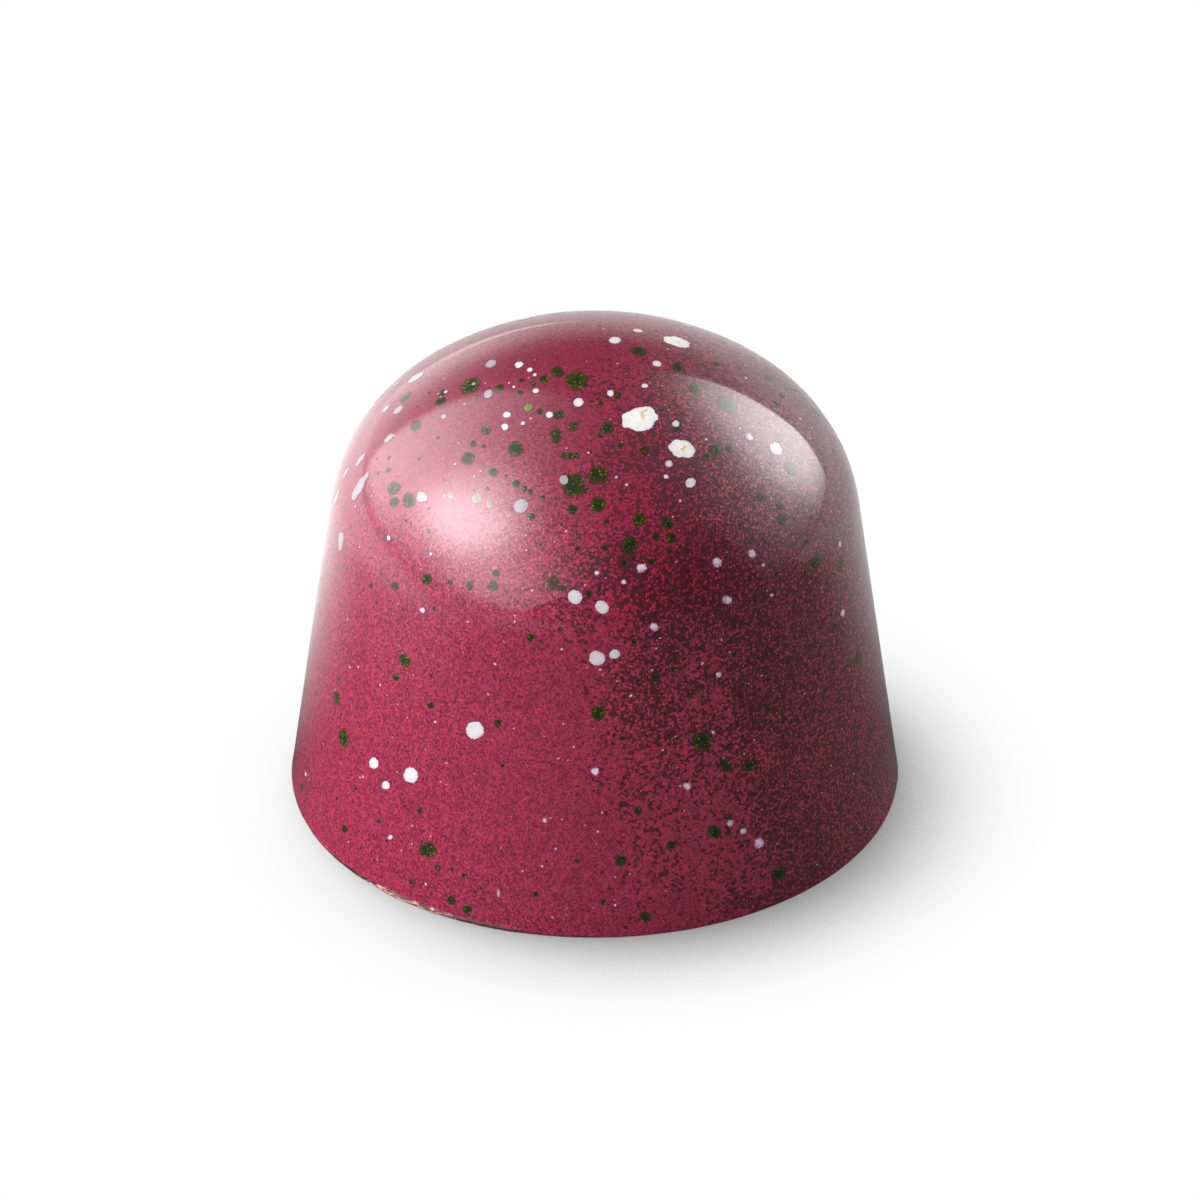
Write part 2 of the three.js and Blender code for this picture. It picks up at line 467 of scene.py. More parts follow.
# Drops drawn at random: how many, and the smallest and largest width in millimetres
HIDDEN_GREENS = (62, (0.35, 1.0))
HIDDEN_WHITES = (36, (0.35, 1.1))
HIDDEN_PALES = (20, (0.2, 0.5))
FINE_GREENS = (330, (0.08, 0.26))
FINE_PALES = (260, (0.05, 0.16))
SMALL_ONES_FAVOURED = 2.2  # over 1, most of them are small
FOOT_SHARE = 0.35  # the chance that a drop drawn at the foot is kept; at the top all are
LOWEST_DROP = 0.03  # share of the profile's length
DROP_GAP = 0.1 * MM
ALWAYS = -1.0  # a gap, in metres, that no other drop can deny
SEEN_FROM = 0.12  # the camera sees a point that faces it at least this squarely

rng = np.random.default_rng(28)


def tangents(normal):
    """Two directions along the surface, level and uphill, at a point with this normal."""
    level = np.cross([0.0, 0.0, 1.0], normal)
    if np.linalg.norm(level) < 1e-6:
        level = np.array([1.0, 0.0, 0.0])
    level = level / np.linalg.norm(level)
    return level, np.cross(normal, level)


def drop_outline(count, unevenness, lobes=0, lobe_depth=0.0):
    """Radii of an uneven round outline, as shares of its mean radius."""
    turn = np.arange(count) * (2 * math.pi / count)
    radii = np.ones(count)
    for wave in OUTLINE_WAVES:
        radii += unevenness / wave * rng.normal() * np.sin(wave * turn + rng.uniform(0, 2 * math.pi))
    if lobes:
        radii += lobe_depth * np.abs(np.sin(lobes * turn / 2 + rng.uniform(0, math.pi)))
    return turn, radii


class DropMesh:
    """Gathers the thin patches of all the drops of one kind."""

    def __init__(self, lift):
        self.lift = lift
        self.points = []
        self.faces = []
        self.edges = []
        self.count = 0

    def add(self, centre, width, oval=1.0, turned=0.0, sides=None, unevenness=0.08, grain=0.0, **lobes):
        """One drop: rings of points from its middle to its edge, laid on the surface."""
        sides = sides or int(np.clip(width / DROP_SIDE_STEP, FEWEST_SIDES, MOST_SIDES))
        shares = np.array(DROP_RINGS if sides > SMALL_DROP_SIDES else SMALL_DROP_RINGS)
        turn, radii = drop_outline(sides, unevenness, **lobes)
        radii = radii * (1 + grain * rng.normal(size=sides))
        _, normal = settle(centre[None], np.zeros(1))
        level, uphill = tangents(normal[0])
        long_way = level * math.cos(turned) + uphill * math.sin(turned)
        short_way = uphill * math.cos(turned) - level * math.sin(turned)
        reach = width / 2 * radii
        x = (shares[:, None] * reach * np.cos(turn)).ravel() * math.sqrt(oval)
        y = (shares[:, None] * reach * np.sin(turn)).ravel() / math.sqrt(oval)
        flat = centre + x[:, None] * long_way + y[:, None] * short_way
        lift = np.repeat(self.lift - DROP_EDGE_FALL * shares**4, sides)
        placed, _ = settle(np.concatenate([flat, centre[None]]), np.append(lift, self.lift))
        start = self.count
        rings = len(shares)
        for face in ring_faces(rings, sides, False):
            self.faces.append([start + i for i in face[::-1]])
        middle = rings * sides
        for side in range(sides):
            self.faces.append([start + side, start + (side + 1) % sides, start + middle])
        self.points.append(placed)
        self.edges.append(np.append(np.repeat(shares, sides), 0.0))
        self.count += middle + 1

    def build(self, name, slot, material):
        points = np.concatenate(self.points)
        piece = make_piece(name, points, self.faces, material)
        store_values(piece, "edge", np.concatenate(self.edges))
        return piece


def away_from_camera(point):
    """How squarely the photograph's camera looks at a point, and the turn along the surface away from it."""
    eye = np.array(camera_axes()[0])
    to_eye = (eye - point) / np.linalg.norm(eye - point)
    _, normal = settle(point[None], np.zeros(1))
    level, uphill = tangents(normal[0])
    return float(normal[0] @ to_eye), math.atan2(to_eye @ uphill, to_eye @ level)


def random_place():
    """A point drawn evenly over the surface, above the foot."""
    while True:
        run = PROFILE_LENGTH * rng.uniform(LOWEST_DROP, 1.0)
        radius, height, _ = profile(run)
        if rng.uniform(0, BASE_RADIUS) < radius:
            angle = rng.uniform(0, 2 * math.pi)
            return np.array([radius * math.cos(angle), radius * math.sin(angle), float(height)])


def faces_photo(point):
    """Whether the photograph shows this point of the surface."""
    return away_from_camera(point)[0] > SEEN_FROM


class Scatter:
    """Keeps drops from landing on each other."""

    def __init__(self):
        self.taken = []

    def claim(self, point, width, gap=DROP_GAP):
        for other, other_width in self.taken:
            if np.linalg.norm(point - other) < (width + other_width) / 2 + gap:
                return False
        self.taken.append((point, width))
        return True


def scatter_drops(scatter, mesh, count, sizes, out_of_sight=False, **shape):
    """Draws places for a number of drops, with widths between two sizes and most of them small."""
    made = 0
    while made < count:
        point = random_place()
        height_share = point[2] / HEIGHT
        if rng.uniform() > FOOT_SHARE + (1 - FOOT_SHARE) * height_share:
            continue
        if out_of_sight and faces_photo(point):
            continue
        width = (sizes[0] + (sizes[1] - sizes[0]) * rng.uniform() ** SMALL_ONES_FAVOURED) * MM
        if scatter.claim(point, width):
            mesh.add(point, width, oval=rng.uniform(1, 1.35), turned=rng.uniform(0, math.pi), **shape)
            made += 1


def place_drops(scatter, mesh, drops, grain=0.0):
    """Drops read off the photograph, each stretched away from the camera."""
    spread = GREEN_SPREAD if grain else 1.0
    for x, y, radius in drops:
        point = seen_at(x, y)
        squareness, away = away_from_camera(point)
        stretch = np.interp(squareness, SQUARENESS, STRETCH)
        width = 2 * radius / PIXELS_PER_MM * MM * math.sqrt(stretch) * spread
        scatter.claim(point, width, gap=ALWAYS)
        mesh.add(point, width, oval=stretch * rng.uniform(0.92, 1.1), turned=away, grain=grain)


def place_shaped_drops(scatter, meshes):
    """The streaks beside the rim, and the scalloped drops with their yellow strokes."""
    for (x, y), height, slimness in RIM_STREAKS:
        point = seen_at(x, y)
        width = height / math.sqrt(slimness) * MM
        scatter.claim(point, width, gap=ALWAYS)
        meshes["milky"].add(point, width, oval=slimness, turned=math.pi / 2, unevenness=0.16)
    for (x, y), width, oval, turned, lobes in LOBED_DROPS:
        point = seen_at(x, y)
        scatter.claim(point, width * MM)
        shape = {"sides": LOBED_SIDES, "unevenness": 0.1, "lobes": lobes, "lobe_depth": 0.13}
        meshes["thick"].add(point, width * MM, oval, turned, **shape)
    for (x, y), length, slimness, turned in YELLOW_STROKES:
        meshes["yellow"].add(seen_at(x, y), length / math.sqrt(slimness) * MM, slimness, turned)


def make_drops(materials):
    """All the drops. The random draws come in this order."""
    scatter = Scatter()
    meshes = {kind: DropMesh(lift) for kind, lift in DROP_LIFTS.items()}
    place_drops(scatter, meshes["white"], WHITE_DROPS)
    place_drops(scatter, meshes["milky"], MILKY_DROPS)
    place_drops(scatter, meshes["pale"], PALE_DROPS)
    place_drops(scatter, meshes["ringed"], RINGED_DROPS)
    place_drops(scatter, meshes["green"], GREEN_DROPS, GREEN_GRAIN)
    place_drops(scatter, meshes["lime"], LIME_DROPS, GREEN_GRAIN)
    place_shaped_drops(scatter, meshes)
    scatter_drops(scatter, meshes["green"], *HIDDEN_GREENS, out_of_sight=True, grain=GREEN_GRAIN)
    scatter_drops(scatter, meshes["white"], *HIDDEN_WHITES, out_of_sight=True)
    scatter_drops(scatter, meshes["pale"], *HIDDEN_PALES, out_of_sight=True)
    scatter_drops(scatter, meshes["green"], *FINE_GREENS, grain=GREEN_GRAIN)
    scatter_drops(scatter, meshes["pale"], *FINE_PALES)
    for kind, (name, slot) in DROP_PIECES.items():
        meshes[kind].build(name, slot, materials[kind])


# Materials


def from_srgb(red, green, blue):
    """A colour given in ordinary 0 to 255 numbers, as the shader's linear numbers."""
    shares = [value / 255 for value in (red, green, blue)]
    linear = [s / 12.92 if s <= 0.04045 else ((s + 0.055) / 1.055) ** 2.4 for s in shares]
    return (*linear, 1.0)


def add_node(tree, kind, inputs=None, **settings):
    """A new node, whose inputs are given as values or as the outputs that feed them."""
    node = tree.nodes.new(kind)
    for name, value in settings.items():
        setattr(node, name, value)
    for name, value in (inputs or {}).items():
        if isinstance(value, bpy.types.NodeSocket):
            tree.links.new(value, node.inputs[name])
        else:
            node.inputs[name].default_value = value
    return node


def calculate(tree, operation, *values):
    return add_node(tree, "ShaderNodeMath", dict(enumerate(values)), operation=operation).outputs[0]


def map_range(tree, value, low, high, to_low=0.0, to_high=1.0):
    inputs = {"Value": value, "From Min": low, "From Max": high, "To Min": to_low, "To Max": to_high}
    return add_node(tree, "ShaderNodeMapRange", inputs, interpolation_type="SMOOTHSTEP").outputs["Result"]


def mix_colours(tree, factor, first, second):
    return add_node(tree, "ShaderNodeMix", {0: factor, 6: first, 7: second}, data_type="RGBA").outputs[2]


def mix_numbers(tree, factor, first, second):
    return add_node(tree, "ShaderNodeMix", {0: factor, 2: first, 3: second}, data_type="FLOAT").outputs[0]


def combine(tree, operation, *vectors):
    """A vector worked out from other vectors."""
    return add_node(tree, "ShaderNodeVectorMath", dict(enumerate(vectors)), operation=operation).outputs[0]


def scale_vector(tree, vector, scale):
    inputs = {0: vector, "Scale": scale}
    return add_node(tree, "ShaderNodeVectorMath", inputs, operation="SCALE").outputs[0]


def dot(tree, first, second):
    inputs = {0: first, 1: second}
    return add_node(tree, "ShaderNodeVectorMath", inputs, operation="DOT_PRODUCT").outputs["Value"]


def axes_of(tree, vector):
    """The X, Y and Z of a vector."""
    return add_node(tree, "ShaderNodeSeparateXYZ", {"Vector": vector}).outputs


def noise(tree, place, size, detail):
    """Cloudy noise whose patches are about as wide as size."""
    inputs = {"Vector": place, "Scale": 1 / size, "Detail": detail}
    return add_node(tree, "ShaderNodeTexNoise", inputs).outputs[0]


def cells(tree, place, size):
    """Cells about as wide as size, and three random numbers for each cell."""
    found = add_node(tree, "ShaderNodeTexVoronoi", {"Vector": place, "Scale": 1 / size}).outputs
    return found, add_node(tree, "ShaderNodeSeparateColor", {"Color": found["Color"]}).outputs


def stored_value(tree, name):
    return add_node(tree, "ShaderNodeAttribute", attribute_name=name).outputs["Fac"]


def new_material(name):
    """A material with only an output and a glossy coated surface in it."""
    material = bpy.data.materials.new(name)
    material.use_nodes = True
    tree = material.node_tree
    tree.nodes.clear()
    surface = add_node(tree, "ShaderNodeBsdfPrincipled")
    add_node(tree, "ShaderNodeOutputMaterial", {"Surface": surface.outputs[0]})
    return material, tree, surface


THIN_WAY = (0.83, -0.39, 0.35)  # the spray thins out this way across the bonbon
THIN_MIDDLE = Vector((0, 0, 8 * MM))
DRIFT = 4 * MM  # size of the patches that the edge of the dense part wanders by
CLUMP = 0.35 * MM
GRAIN = 0.13 * MM
FLAKE = 0.07 * MM
FLAKE_TILT = 0.25
# Painted shade: the pearl's colour darkens towards the top of the crown
CROWN_PAINTED_SHADE_FROM = 0.6  # the pearl begins to darken at this share of the height
CROWN_PAINTED_SHADE = 0.68  # the crown's pearl is this much as bright as the wall's
CHOCOLATE_UNDER = (0.032, 0.0012, 0.005, 1)
PEARL = (0.23, 0.0095, 0.037, 1)
PEARL_RED = (0.262, 0.013, 0.029, 1)
PEARL_VIOLET = (0.202, 0.011, 0.06, 1)
THINLY_SPRAYED = 0.25  # the most that single flakes colour the chocolate between the grains
SPECK_CHANCE = 0.998  # the few flakes above this are pale or bright red specks
SPECK_CREAM = (0.62, 0.42, 0.36, 1)
SPECK_RED = (0.6, 0.07, 0.06, 1)


def spray_density(tree, place):
    """How thickly the spray lies: over 1 on the left, where it covers, and about a half on the right."""
    along = dot(tree, combine(tree, "ADD", place, -THIN_MIDDLE), THIN_WAY)
    share = calculate(tree, "DIVIDE", along, BASE_RADIUS)
    drift = map_range(tree, noise(tree, place, DRIFT, 2.0), 0.3, 0.7, -0.12, 0.12)
    drifted = calculate(tree, "ADD", share, drift)
    clumps = map_range(tree, noise(tree, place, CLUMP, 3.0), 0.3, 0.7, -0.06, 0.06)
    return calculate(tree, "ADD", map_range(tree, drifted, -0.1, 0.85, 1.4, 0.55), clumps)


def spray_cover(tree, place, density):
    """1 on the round grains of the spray and 0 between them, where the chocolate shows."""
    grains, chance = cells(tree, place, GRAIN)
    there = map_range(tree, calculate(tree, "SUBTRACT", density, chance[0]), -0.03, 0.03)
    size = map_range(tree, density, 0.45, 1.15, 0.45, 1.05)
    disc = map_range(tree, calculate(tree, "SUBTRACT", size, grains["Distance"]), -0.1, 0.1)
    return calculate(tree, "MULTIPLY", there, disc)


def spray_layers(tree):
    """Colour, cover and flake normal of the raspberry pearl spray over the chocolate, with painted shade that
    darkens the pearl towards the crown.
    """
    place = add_node(tree, "ShaderNodeTexCoord").outputs["Object"]
    density = spray_density(tree, place)
    cover = spray_cover(tree, place, density)
    flakes, chance = cells(tree, place, FLAKE)
    warm = mix_colours(tree, map_range(tree, chance[1], 0.5, 1.0), PEARL, PEARL_RED)
    tinted = mix_colours(tree, map_range(tree, chance[1], 0.5, 0.1), warm, PEARL_VIOLET)
    flicker = map_range(tree, chance[2], 0.0, 1.0, 0.5, 1.5)
    sparse = map_range(tree, density, 0.6, 1.1, 1.35, 1.0)
    height = axes_of(tree, place)["Z"]
    # painted shade: the pearl's colour darkens towards the top of the crown
    crown = map_range(tree, height, CROWN_PAINTED_SHADE_FROM * HEIGHT, HEIGHT, 1.0, CROWN_PAINTED_SHADE)
    brightness = calculate(tree, "MULTIPLY", flicker, calculate(tree, "MULTIPLY", sparse, crown))
    lit = scale_vector(tree, tinted, brightness)
    thin = map_range(tree, chance[0], 0.3, 1.0, 0.0, THINLY_SPRAYED)
    sprayed = mix_colours(tree, calculate(tree, "MAXIMUM", cover, thin), CHOCOLATE_UNDER, lit)
    speck = mix_colours(tree, map_range(tree, chance[1], 0.4, 0.6), SPECK_CREAM, SPECK_RED)
    is_speck = map_range(tree, chance[0], SPECK_CHANCE, 1.0, 0.0, 2.0)
    colour = mix_colours(tree, is_speck, sprayed, speck)
    normal = add_node(tree, "ShaderNodeNewGeometry").outputs["Normal"]
    tilt = scale_vector(tree, combine(tree, "ADD", flakes["Color"], (-0.5, -0.5, -0.5)), FLAKE_TILT)
    flake_normal = combine(tree, "NORMALIZE", combine(tree, "ADD", normal, tilt))
    return {"colour": colour, "cover": cover, "normal": flake_normal, "place": place}


FRAY = 0.07 * MM  # size of the breaks in a drop's edge
GREEN_CELL = 0.06 * MM
CLOUD = 0.2 * MM  # size of the thinner patches in a white drop


def edge_share(tree, place, start):
    """0 inside a drop and 1 past its broken edge, which begins at this share of its radius."""
    broken = map_range(tree, noise(tree, place, FRAY, 1.0), 0.3, 0.7, start - 1, 1 - start)
    frayed = calculate(tree, "ADD", stored_value(tree, "edge"), broken)
    return map_range(tree, frayed, start, 1.0)


def set_gloss(surface, roughness=0.38, coat=1.0, coat_roughness=0.03):
    """The moulded gloss that runs over skin and drops alike."""
    surface.inputs["Roughness"].default_value = roughness
    surface.inputs["Coat Weight"].default_value = coat
    surface.inputs["Coat Roughness"].default_value = coat_roughness
    surface.inputs["Coat IOR"].default_value = 1.45


def make_skin_material():
    material, tree, surface = new_material("raspberry_skin")
    layers = spray_layers(tree)
    tree.links.new(layers["colour"], surface.inputs["Base Color"])
    tree.links.new(layers["normal"], surface.inputs["Normal"])
    set_gloss(surface)
    tree.links.new(map_range(tree, layers["cover"], 0.0, 1.0, 0.52, 0.4), surface.inputs["Roughness"])
    surface.inputs["Specular Tint"].default_value = (0.85, 0.5, 0.62, 1)
    surface.inputs["Specular IOR Level"].default_value = 0.8
    return material


def make_green_material(name, dark, mid, fleck):
    """Cocoa butter full of fine grain, whose edge breaks up into the spray round it."""
    material, tree, surface = new_material(name)
    layers = spray_layers(tree)
    place = layers["place"]
    _, chance = cells(tree, place, GREEN_CELL)
    mottle = map_range(tree, chance[0], 0.0, 1.0, -0.4, 0.4)
    outer = calculate(tree, "ADD", mottle, stored_value(tree, "edge"))
    body = mix_colours(tree, map_range(tree, outer, 0.3, 1.1), dark, mid)
    flecked = mix_colours(tree, map_range(tree, chance[1], 0.9, 0.98), body, fleck)
    colour = mix_colours(tree, edge_share(tree, place, 0.86), flecked, layers["colour"])
    tree.links.new(colour, surface.inputs["Base Color"])
    set_gloss(surface, roughness=0.36)
    surface.inputs["Specular IOR Level"].default_value = 0.15
    return material


def make_white_material(name, middle, rim, edge_start):
    """White cocoa butter, a little thinner towards its edge."""
    material, tree, surface = new_material(name)
    layers = spray_layers(tree)
    place = layers["place"]
    cloud = map_range(tree, noise(tree, place, CLOUD, 2.0), 0.3, 0.7, -0.35, 0.35)
    cloudy = calculate(tree, "ADD", stored_value(tree, "edge"), cloud)
    mixed = mix_colours(tree, map_range(tree, cloudy, 0.2, 1.0), middle, rim)
    colour = mix_colours(tree, edge_share(tree, place, edge_start), mixed, layers["colour"])
    tree.links.new(colour, surface.inputs["Base Color"])
    set_gloss(surface, roughness=0.35)
    surface.inputs["Specular IOR Level"].default_value = 0.2
    return material


DARK_CHOCOLATE = from_srgb(38, 22, 20)
DARK_BROWN = from_srgb(70, 32, 26)
MILK_BROWN = from_srgb(104, 48, 40)
WINE_BROWN = from_srgb(84, 24, 32)
SALMON = from_srgb(150, 62, 60)
TAN = from_srgb(186, 122, 98)
CREAM = from_srgb(222, 192, 166)
LIP_LAYERING = (1, 1, 7)  # streaks in the lip are this much flatter than long
LIP_STREAK = 0.45 * MM
LIP_TINT_PATCH = 0.3 * MM
LIP_CRUMB = 0.4 * MM
CHOCOLATE_GRAIN = 0.2 * MM
CHOCOLATE_RELIEF = 0.03 * MM


def make_chocolate_material():
    """Dark chocolate whose lip has a broken layer of tan, salmon and cream under a thin, broken line of
    painted shade just below the skin's edge.
    """
    material, tree, surface = new_material("scraped_chocolate")
    place = add_node(tree, "ShaderNodeTexCoord").outputs["Object"]
    layered_place = add_node(tree, "ShaderNodeMapping", {"Vector": place, "Scale": LIP_LAYERING}).outputs[0]
    streaks = noise(tree, layered_place, LIP_STREAK, 3.0)
    tint = noise(tree, layered_place, LIP_TINT_PATCH, 3.0)
    crumbs = noise(tree, place, LIP_CRUMB, 3.0)
    dark = mix_colours(tree, map_range(tree, tint, 0.4, 0.6), DARK_CHOCOLATE, DARK_BROWN)
    salmon = mix_colours(tree, map_range(tree, tint, 0.38, 0.5), SALMON, TAN)
    pale = mix_colours(tree, map_range(tree, tint, 0.5, 0.6), salmon, CREAM)
    edging = mix_colours(tree, map_range(tree, crumbs, 0.56, 0.62), WINE_BROWN, pale)
    brown = mix_colours(tree, map_range(tree, streaks, 0.42, 0.5), MILK_BROWN, pale)
    layered = mix_colours(tree, map_range(tree, stored_value(tree, "bare"), 0.3, 0.6), edging, brown)
    # painted shade: a thin dark line just below the skin's edge, broken up by the crumbs
    under_skin_shade = map_range(tree, stored_value(tree, "below_skin"), 0.05, 0.08, 1.0, 0.0)
    painted_edge_shade = calculate(tree, "MULTIPLY", under_skin_shade, map_range(tree, crumbs, 0.4, 0.48))
    with_edge_shade = mix_colours(tree, painted_edge_shade, layered, dark)
    radius = add_node(tree, "ShaderNodeVectorMath", {0: place}, operation="LENGTH").outputs["Value"]
    at_lip = map_range(tree, radius, BASE_RADIUS - 2 * UNDERSIDE_BEVEL, BASE_RADIUS - UNDERSIDE_BEVEL)
    colour = mix_colours(tree, at_lip, dark, with_edge_shade)
    tree.links.new(colour, surface.inputs["Base Color"])
    grain = noise(tree, place, CHOCOLATE_GRAIN, 5.0)
    bump = add_node(tree, "ShaderNodeBump", {"Height": grain, "Strength": 0.5, "Distance": CHOCOLATE_RELIEF})
    tree.links.new(bump.outputs[0], surface.inputs["Normal"])
    set_gloss(surface, roughness=0.5, coat=0.2, coat_roughness=0.3)
    return material


# Floor, surroundings and lights


FLOOR_CORNERS = ((-4, -2, 0), (4, -2, 0), (0, 5, 0))
FLOOR_DROP = 0.005 * MM
FLOOR_GLOW = 1.1  # the floor's light on the bonbon, when the camera sees it at 1

# The shadow, worked out from how closed in the floor is on the side that the light comes from
SHADOW_REACH = 10 * MM
SHADOW_LIGHT_WAY = (-0.3, 0.3, 0.9)
SHADOW_SPREAD = 0.42  # closed in by this share, the floor has lost 63 % of what the shadow takes
SHADOW_CURVE = 3.6
SHADOW_DEPTH = 0.74  # the most that the shadow takes

# Brightness of the floor as the gloss mirrors it
MIRRORED_LEFT = 1.4
MIRRORED_RIGHT = 0.68
MIRRORED_FAR_LEFT = 1.6
MIRRORED_LEAST = 0.08
LEFT_TO_RIGHT = (-0.6, -0.15)  # X of the outward direction, between the left and the right brightness
FRONT_TO_BEHIND = (-4 * MM, 30 * MM)
FAR_LEFT_TO_NEAR = (-80 * MM, -25 * MM)
FAR_LEFT_FRONT = (-60 * MM, -15 * MM)  # the far left dims towards the front between these
FAR_LEFT_FRONT_SHARE = 0.3


def make_floor():
    """A pale tabletop, whose contact shadow lies in front and on the right, away from the lights."""
    mesh = bpy.data.meshes.new("floor")
    mesh.from_pydata(FLOOR_CORNERS, [], [(0, 1, 2)])
    floor = bpy.data.objects.new("floor", mesh)
    material = bpy.data.materials.new("pale_floor")
    material.use_nodes = True
    tree = material.node_tree
    tree.nodes.clear()
    rays = add_node(tree, "ShaderNodeLightPath").outputs
    glow = mix_numbers(tree, rays["Is Camera Ray"], FLOOR_GLOW, 1.0)
    plain = calculate(tree, "MULTIPLY", shadowed_level(tree), glow)
    strength = mix_numbers(tree, rays["Is Glossy Ray"], plain, mirrored_floor(tree))
    shown = add_node(tree, "ShaderNodeEmission", {"Strength": strength})
    add_node(tree, "ShaderNodeOutputMaterial", {"Surface": shown.outputs[0]})
    mesh.materials.append(material)
    bpy.context.scene.collection.objects.link(floor)
    floor.location.z = -FLOOR_DROP


def shadowed_level(tree):
    """1 on the open floor and less in the bonbon's shadow."""
    to_light = dict(zip("XYZ", Vector(SHADOW_LIGHT_WAY).normalized()))
    normal = add_node(tree, "ShaderNodeCombineXYZ", to_light).outputs[0]
    inputs = {"Distance": SHADOW_REACH, "Normal": normal}
    open_share = add_node(tree, "ShaderNodeAmbientOcclusion", inputs, samples=16).outputs["AO"]
    closed = calculate(tree, "DIVIDE", calculate(tree, "SUBTRACT", 1.0, open_share), SHADOW_SPREAD)
    lit = bell(tree, closed, 1.0, SHADOW_DEPTH, SHADOW_CURVE)
    return calculate(tree, "ADD", lit, 1.0 - SHADOW_DEPTH)


def mirrored_floor(tree):
    """The floor as the gloss mirrors it: dark in front, paler behind, and palest behind on the left."""
    place = add_node(tree, "ShaderNodeNewGeometry").outputs["Position"]
    parts = axes_of(tree, place)
    rightness = axes_of(tree, combine(tree, "NORMALIZE", place))["X"]
    side = map_range(tree, rightness, *LEFT_TO_RIGHT, MIRRORED_LEFT, MIRRORED_RIGHT)
    behind = calculate(tree, "MULTIPLY", map_range(tree, parts["Y"], *FRONT_TO_BEHIND), side)
    far_left = map_range(tree, parts["X"], *FAR_LEFT_TO_NEAR, MIRRORED_FAR_LEFT, 0.0)
    dimmed = map_range(tree, parts["Y"], *FAR_LEFT_FRONT, FAR_LEFT_FRONT_SHARE, 1.0)
    beside = calculate(tree, "MULTIPLY", far_left, dimmed)
    brightest = calculate(tree, "MAXIMUM", behind, beside)
    return calculate(tree, "MAXIMUM", brightest, MIRRORED_LEAST)


def direction(azimuth, elevation):
    """A way to look from the bonbon: azimuth from the camera's side towards the right, in degrees."""
    a = math.radians(azimuth)
    e = math.radians(elevation)
    return Vector((math.sin(a) * math.cos(e), -math.cos(a) * math.cos(e), math.sin(e)))


def degrees_from(tree, way, middle):
    """Angle in degrees between a unit vector and a fixed direction."""
    angle = calculate(tree, "ARCCOSINE", dot(tree, way, middle))
    return calculate(tree, "MULTIPLY", angle, math.degrees(1))


def bell(tree, angle, width, peak, flatness=2.0):
    """A smooth hump over an angle: peak in the middle and 37 % of it at width."""
    raised = calculate(tree, "POWER", calculate(tree, "DIVIDE", angle, width), flatness)
    share = calculate(tree, "EXPONENT", calculate(tree, "MULTIPLY", raised, -1.0))
    return calculate(tree, "MULTIPLY", share, peak)


# Brightness of the surroundings, and the table's glow as azimuth and elevation in degrees
BACKDROP_GLOW = 0.62
BACKDROP_LEFT = 2.2
BACKDROP_RIGHT = 1.2
TABLE_LEVEL = 0.08
TABLE_GLOW = 1.0
TABLE_GLOW_WAY = (-85, -12)
TABLE_GLOW_WIDTH = 38


def make_surroundings():
    """A white backdrop low behind the bonbon, and a pale table that is brightest beside the left softbox."""
    world = bpy.data.worlds.new("studio")
    world.use_nodes = True
    tree = world.node_tree
    tree.nodes.clear()
    way = add_node(tree, "ShaderNodeTexCoord").outputs["Generated"]
    parts = axes_of(tree, way)
    behind = map_range(tree, parts["Y"], 0.55, 0.92, 0.0, BACKDROP_GLOW)
    left_part = map_range(tree, parts["X"], -0.35, -0.05, BACKDROP_LEFT, 1.0)
    right_part = map_range(tree, parts["X"], 0.1, 0.5, 1.0, BACKDROP_RIGHT)
    behind = calculate(tree, "MULTIPLY", behind, calculate(tree, "MULTIPLY", left_part, right_part))
    behind = calculate(tree, "MULTIPLY", behind, map_range(tree, parts["Z"], -0.7, -0.45, 0.5, 1.0))
    backdrop = calculate(tree, "MULTIPLY", behind, map_range(tree, parts["Z"], 0.05, 0.42, 1.0, 0.0))
    from_glow = degrees_from(tree, way, direction(*TABLE_GLOW_WAY))
    beside = bell(tree, from_glow, TABLE_GLOW_WIDTH, TABLE_GLOW)
    below = map_range(tree, parts["Z"], -0.04, 0.06, 1.0, 0.0)
    table = calculate(tree, "MULTIPLY", calculate(tree, "ADD", beside, TABLE_LEVEL), below)
    strength = calculate(tree, "ADD", backdrop, table)
    seen = add_node(tree, "ShaderNodeLightPath").outputs["Is Camera Ray"]
    shown = mix_numbers(tree, seen, strength, 1.0)
    background = add_node(tree, "ShaderNodeBackground", {"Color": (1, 1, 1, 1), "Strength": shown})
    add_node(tree, "ShaderNodeOutputWorld", {"Surface": background.outputs[0]})
    bpy.context.scene.world = world


# Softboxes, as the gloss mirrors them: angles in degrees, brightness in units of the white background
# Each is the normal of the plane through the bonbon that holds its back edge, how soft that edge is,
# its reach in units of its distance, the height in metres below which it fades, and its humps of light
# A hump is its azimuth, elevation, width, peak and flatness, and the first one is the softbox's middle
SOFTBOXES = {
    "softbox_left": (
        (0.642, 0.639, -0.423), 0.09, 1.6, 0.14,
        ((-79, 43.5, 20.5, 8.2, 3), (-122, 23, 32, 3.2, 2), (-48, 20, 25, 2.8, 2)),
    ),
    "softbox_right": (
        (-0.51, 0.59, -0.62), 0.03, 1.4, 0.05,
        ((133, 24, 20, 5.1, 3), (106, 24, 26, 0.9, 2)),
    ),
}
SOFTBOX_DISTANCE = 0.5
AREA_LIGHT_UNIT = 4.0  # watts per square metre of an area light that shows a brightness of 1


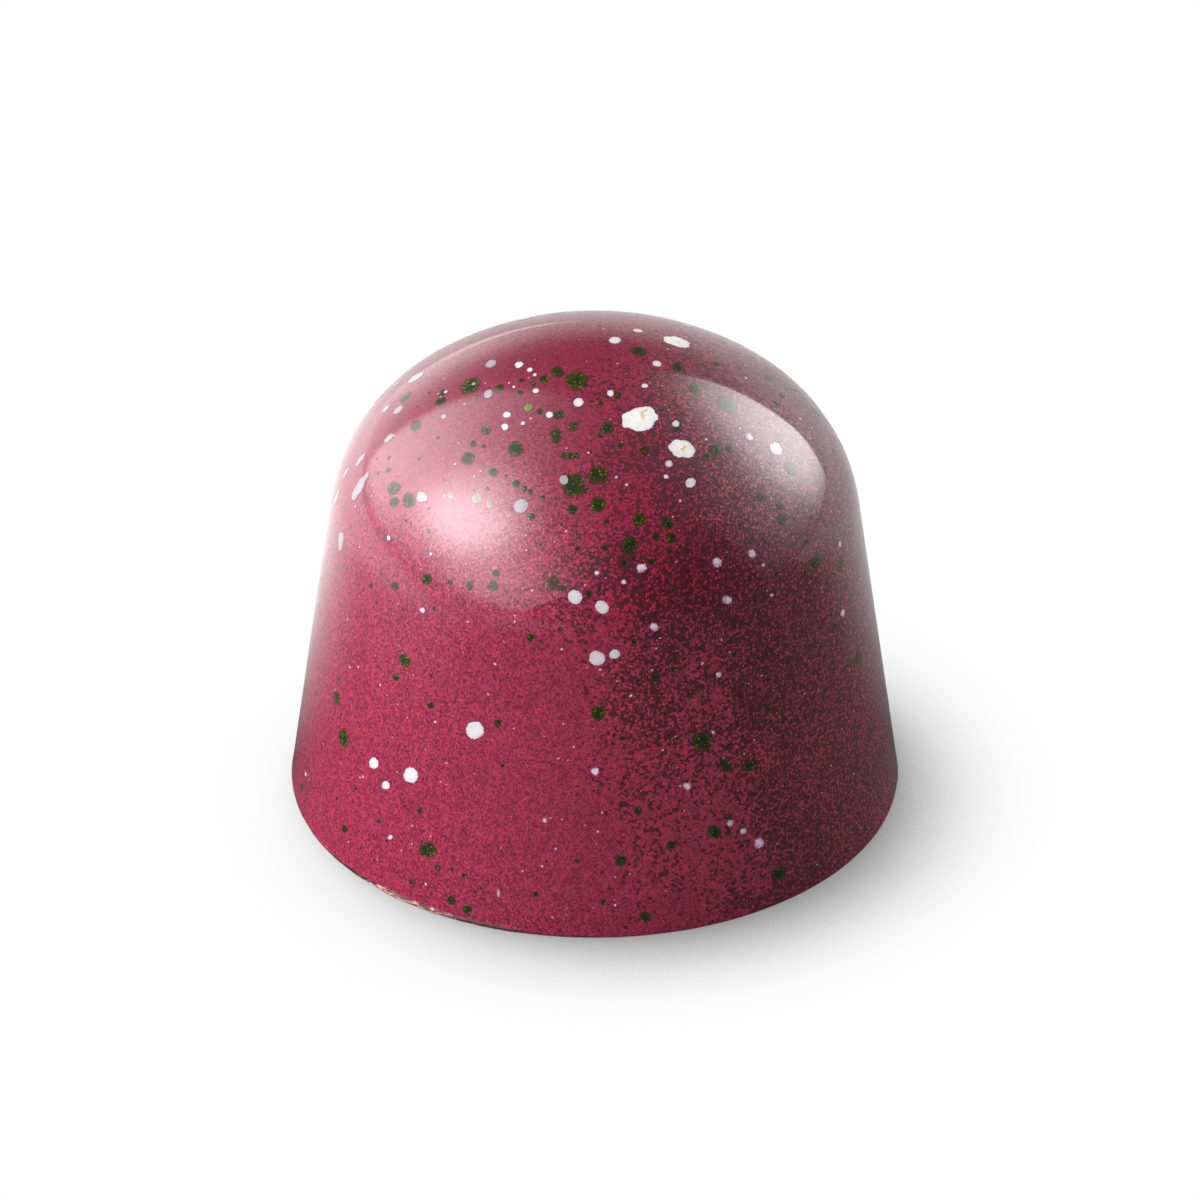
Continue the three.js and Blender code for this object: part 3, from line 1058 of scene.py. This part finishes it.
def softbox_brightness(tree, plane, edge_softness, full_height, humps):
    """A sum of humps, cut off at the plane of the softbox's back edge and faded out towards the floor."""
    place = add_node(tree, "ShaderNodeNewGeometry").outputs["Position"]
    way = combine(tree, "NORMALIZE", combine(tree, "ADD", place, (0, 0, -HEIGHT / 2)))
    glow = 0.0
    for azimuth, elevation, hump_width, peak, flatness in humps:
        angle = degrees_from(tree, way, direction(azimuth, elevation))
        glow = calculate(tree, "ADD", bell(tree, angle, hump_width, peak, flatness), glow)
    in_front = map_range(tree, dot(tree, way, plane), -edge_softness, 0.0, 1.0, 0.0)
    glow = calculate(tree, "MULTIPLY", glow, in_front)
    above_floor = map_range(tree, axes_of(tree, place)["Z"], 0.0, full_height)
    return calculate(tree, "MULTIPLY", glow, above_floor)


def make_softbox(name, edge_plane, edge_softness, reach, full_height, humps):
    """An area light round the bonbon's middle, with a straight back edge in edge_plane."""
    middle = direction(*humps[0][:2])
    plane = Vector(edge_plane).normalized()
    across = (plane - plane.dot(middle) * middle).normalized()
    upright = middle.cross(across)
    edge_at = -plane.dot(middle) / plane.dot(across)
    width = edge_at + reach
    data = bpy.data.lights.new(name, "AREA")
    data.shape = "RECTANGLE"
    data.size = width * SOFTBOX_DISTANCE
    data.size_y = 2 * reach * SOFTBOX_DISTANCE
    data.energy = AREA_LIGHT_UNIT * data.size * data.size_y
    data.use_nodes = True
    tree = data.node_tree
    tree.nodes.clear()
    strength = softbox_brightness(tree, plane, edge_softness, full_height, humps)
    emission = add_node(tree, "ShaderNodeEmission", {"Strength": strength})
    add_node(tree, "ShaderNodeOutputLight", {"Surface": emission.outputs[0]})
    light = bpy.data.objects.new(name, data)
    turn = Matrix((across, upright, middle)).transposed()
    light.rotation_euler = turn.to_euler()
    off_centre = (edge_at - reach) / 2
    light.location = Vector((0, 0, HEIGHT / 2)) + SOFTBOX_DISTANCE * (middle + off_centre * across)
    bpy.context.scene.collection.objects.link(light)


# A white's middle, its rim and the share of its radius where it breaks up into the spray
WHITES = {
    "white": ("white_cocoa_butter", (0.56, 0.54, 0.56, 1), (0.5, 0.46, 0.5, 1), 0.93),
    "thick": ("thick_white_cocoa_butter", (0.7, 0.69, 0.68, 1), (0.62, 0.6, 0.6, 1), 0.95),
    "milky": ("milky_cocoa_butter", (0.3, 0.285, 0.315, 1), (0.28, 0.25, 0.28, 1), 0.93),
    "pale": ("thin_white_cocoa_butter", (0.62, 0.5, 0.62, 1), (0.38, 0.2, 0.3, 1), 0.85),
    "ringed": ("ringed_white_cocoa_butter", (0.17, 0.14, 0.13, 1), (0.22, 0.22, 0.18, 1), 0.93),
    "yellow": ("yellow_cocoa_butter", (0.65, 0.44, 0.1, 1), (0.62, 0.5, 0.25, 1), 0.8),
}

# A green's middle, its outer part and its flecks
GREENS = {
    "green": ("green_cocoa_butter", (0.005, 0.018, 0.004, 1), (0.045, 0.036, 0.006, 1), (0.16, 0.15, 0.02, 1)),
    "lime": ("lime_cocoa_butter", (0.09, 0.16, 0.02, 1), (0.14, 0.19, 0.03, 1), (0.25, 0.33, 0.06, 1)),
}


def make_bonbon():
    skin = make_skin(make_skin_material())
    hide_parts("bonbon")
    make_foot(make_chocolate_material())
    whites = {kind: make_white_material(*look) for kind, look in WHITES.items()}
    greens = {kind: make_green_material(*look) for kind, look in GREENS.items()}
    make_drops({**whites, **greens})


make_camera()
make_floor()
make_surroundings()
for name, shape in SOFTBOXES.items():
    make_softbox(name, *shape)
make_bonbon()
bpy.context.scene.view_settings.view_transform = "Standard"
